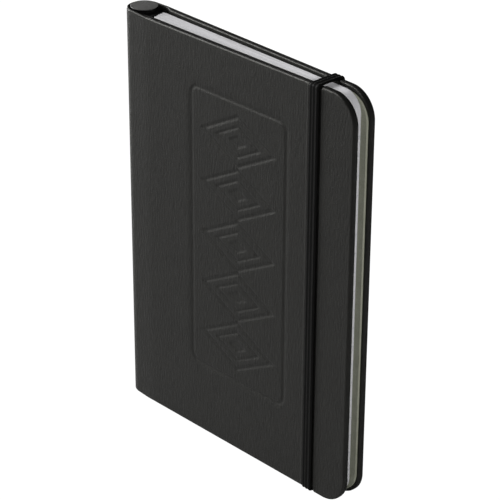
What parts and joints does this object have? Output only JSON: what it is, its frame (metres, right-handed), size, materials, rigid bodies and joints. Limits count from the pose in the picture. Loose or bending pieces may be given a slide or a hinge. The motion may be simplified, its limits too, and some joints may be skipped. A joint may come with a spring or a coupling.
{
  "type": "pocket notebook",
  "caption": "Pocket notebook standing on its tail edge: soft hard covers on a round spine that holds a pen, sewn pages, back pocket and an elastic closure.",
  "frame": {"origin": "middle of the footprint, on the surface that the tail edge stands on", "axes": "+X from the spine to the fore edge, -Y out of the front cover, +Z from tail to head"},
  "size_m": [0.1032, 0.012, 0.1407],
  "materials": {
    "cover_leather": "satin grained",
    "board": "matte",
    "endpaper": "matte",
    "paper": "matte",
    "pocket_card": "matte",
    "gusset_cloth": "matte",
    "elastic": "ribbed",
    "glue": "matte",
    "thread": "matte",
    "pen_metal": "polished",
    "pen_barrel": "satin",
    "pen_gloss": "gloss",
    "pen_disc": "matte",
    "cam_plastic": "matte",
    "refill_plastic": "gloss",
    "brass": "polished",
    "spring_steel": "bright"
  },
  "bodies": {
    "book_spine": {"spine_cover": "cover_leather", "pen_sleeve": "board", "spine_web": "board", "spine_cloth": "gusset_cloth", "spine_glue": "glue", "section_folds": "paper", "sewing_thread": "thread"},
    "front_cover": {"front_cover_skin": "cover_leather", "front_cover_board": "board", "front_pastedown": "endpaper"},
    "back_cover": {"back_cover_skin": "cover_leather", "back_cover_board": "board", "back_pastedown": "endpaper", "elastic_anchors": "elastic", "pocket_gusset_head": "gusset_cloth", "pocket_gusset_tail": "gusset_cloth"},
    "pocket": {"pocket_panel": "pocket_card"},
    "elastic": {"elastic_band": "elastic"},
    "front_leaf": {"front_flyleaf": "paper"},
    "back_leaf": {"back_flyleaf": "paper"},
    "section_1": {"page_section_1": "paper"},
    "section_2": {"page_section_2": "paper"},
    "section_3": {"page_section_3": "paper"},
    "section_4": {"page_section_4": "paper"},
    "section_5": {"page_section_5": "paper"},
    "section_6": {"page_section_6": "paper"},
    "pen": {"pen_lower_barrel": "pen_barrel", "pen_nose_cone": "pen_metal", "pen_centre_ring": "pen_metal", "refill_spring": "spring_steel"},
    "pen_top": {"pen_upper_barrel": "pen_barrel", "pen_end_plug": "pen_gloss", "pen_end_disc": "pen_disc", "twist_cam": "cam_plastic"},
    "refill": {"refill_tube": "refill_plastic", "refill_collar": "cam_plastic", "refill_tip": "brass"}
  },
  "joints": [
    {"name": "front_cover_hinge", "type": "hinge", "parent": "book_spine", "child": "front_cover", "pos_m": [-0.0386, -0.006, 0.07], "axis": [0, 0, -1], "range_deg": [0, 165]},
    {"name": "back_cover_hinge", "type": "hinge", "parent": "book_spine", "child": "back_cover", "pos_m": [-0.0386, 0.006, 0.07], "axis": [0, 0, 1], "range_deg": [0, 165]},
    {"name": "front_flyleaf_turn", "type": "hinge", "parent": "book_spine", "child": "front_leaf", "pos_m": [-0.0384, -0.00365, 0.07], "axis": [0, 0, -1], "range_deg": [0, 78]},
    {"name": "back_flyleaf_turn", "type": "hinge", "parent": "book_spine", "child": "back_leaf", "pos_m": [-0.0384, 0.00262, 0.07], "axis": [0, 0, 1], "range_deg": [0, 78]},
    {"name": "section_1_turn", "type": "hinge", "parent": "book_spine", "child": "section_1", "pos_m": [-0.0384, -0.0035, 0.07], "axis": [0, 0, -1], "range_deg": [0, 60]},
    {"name": "section_2_turn", "type": "hinge", "parent": "book_spine", "child": "section_2", "pos_m": [-0.0384, -0.0025, 0.07], "axis": [0, 0, -1], "range_deg": [0, 40]},
    {"name": "section_3_turn", "type": "hinge", "parent": "book_spine", "child": "section_3", "pos_m": [-0.0384, -0.0015, 0.07], "axis": [0, 0, -1], "range_deg": [0, 20]},
    {"name": "section_4_turn", "type": "hinge", "parent": "book_spine", "child": "section_4", "pos_m": [-0.0384, 0.00047, 0.07], "axis": [0, 0, 1], "range_deg": [0, 20]},
    {"name": "section_5_turn", "type": "hinge", "parent": "book_spine", "child": "section_5", "pos_m": [-0.0384, 0.00147, 0.07], "axis": [0, 0, 1], "range_deg": [0, 40]},
    {"name": "section_6_turn", "type": "hinge", "parent": "book_spine", "child": "section_6", "pos_m": [-0.0384, 0.00247, 0.07], "axis": [0, 0, 1], "range_deg": [0, 60]},
    {"name": "pocket_opening", "type": "hinge", "parent": "back_cover", "child": "pocket", "pos_m": [0.05075, 0.00193, 0.07], "axis": [0, 0, 1], "range_deg": [0, 8], "deforming": ["pocket_gusset_head", "pocket_gusset_tail"]},
    {"name": "elastic_pull", "type": "slide", "parent": "back_cover", "child": "elastic", "axis": [1, 0, 0], "range_m": [0, 0.022], "stiffness_N_per_m": 20, "deforming": ["elastic_band"]},
    {"name": "pen_slide", "type": "slide", "parent": "book_spine", "child": "pen", "axis": [0, 0, 1], "range_m": [0, 0.136]},
    {"name": "pen_twist", "type": "hinge", "parent": "pen", "child": "pen_top", "pos_m": [-0.046, 0, 0.0805], "axis": [0, 0, 1], "range_deg": [0, 180]},
    {"name": "refill_slide", "type": "slide", "parent": "pen", "child": "refill", "axis": [0, 0, -1], "range_m": [0, 0.0032], "deforming": ["refill_spring"]}
  ],
  "couplings": [
    {"joint": "front_flyleaf_turn", "follows": "front_cover_hinge", "ratio": 0.47},
    {"joint": "back_flyleaf_turn", "follows": "back_cover_hinge", "ratio": 0.47},
    {"joint": "section_1_turn", "follows": "front_cover_hinge", "ratio": 0.36},
    {"joint": "section_2_turn", "follows": "front_cover_hinge", "ratio": 0.24},
    {"joint": "section_3_turn", "follows": "front_cover_hinge", "ratio": 0.12},
    {"joint": "section_4_turn", "follows": "back_cover_hinge", "ratio": 0.12},
    {"joint": "section_5_turn", "follows": "back_cover_hinge", "ratio": 0.24},
    {"joint": "section_6_turn", "follows": "back_cover_hinge", "ratio": 0.36},
    {"joint": "pocket_opening", "follows": "back_cover_hinge", "ratio": 0.048},
    {"joint": "refill_slide", "follows": "pen_twist", "m_per_rad": 0.001018}
  ]
}
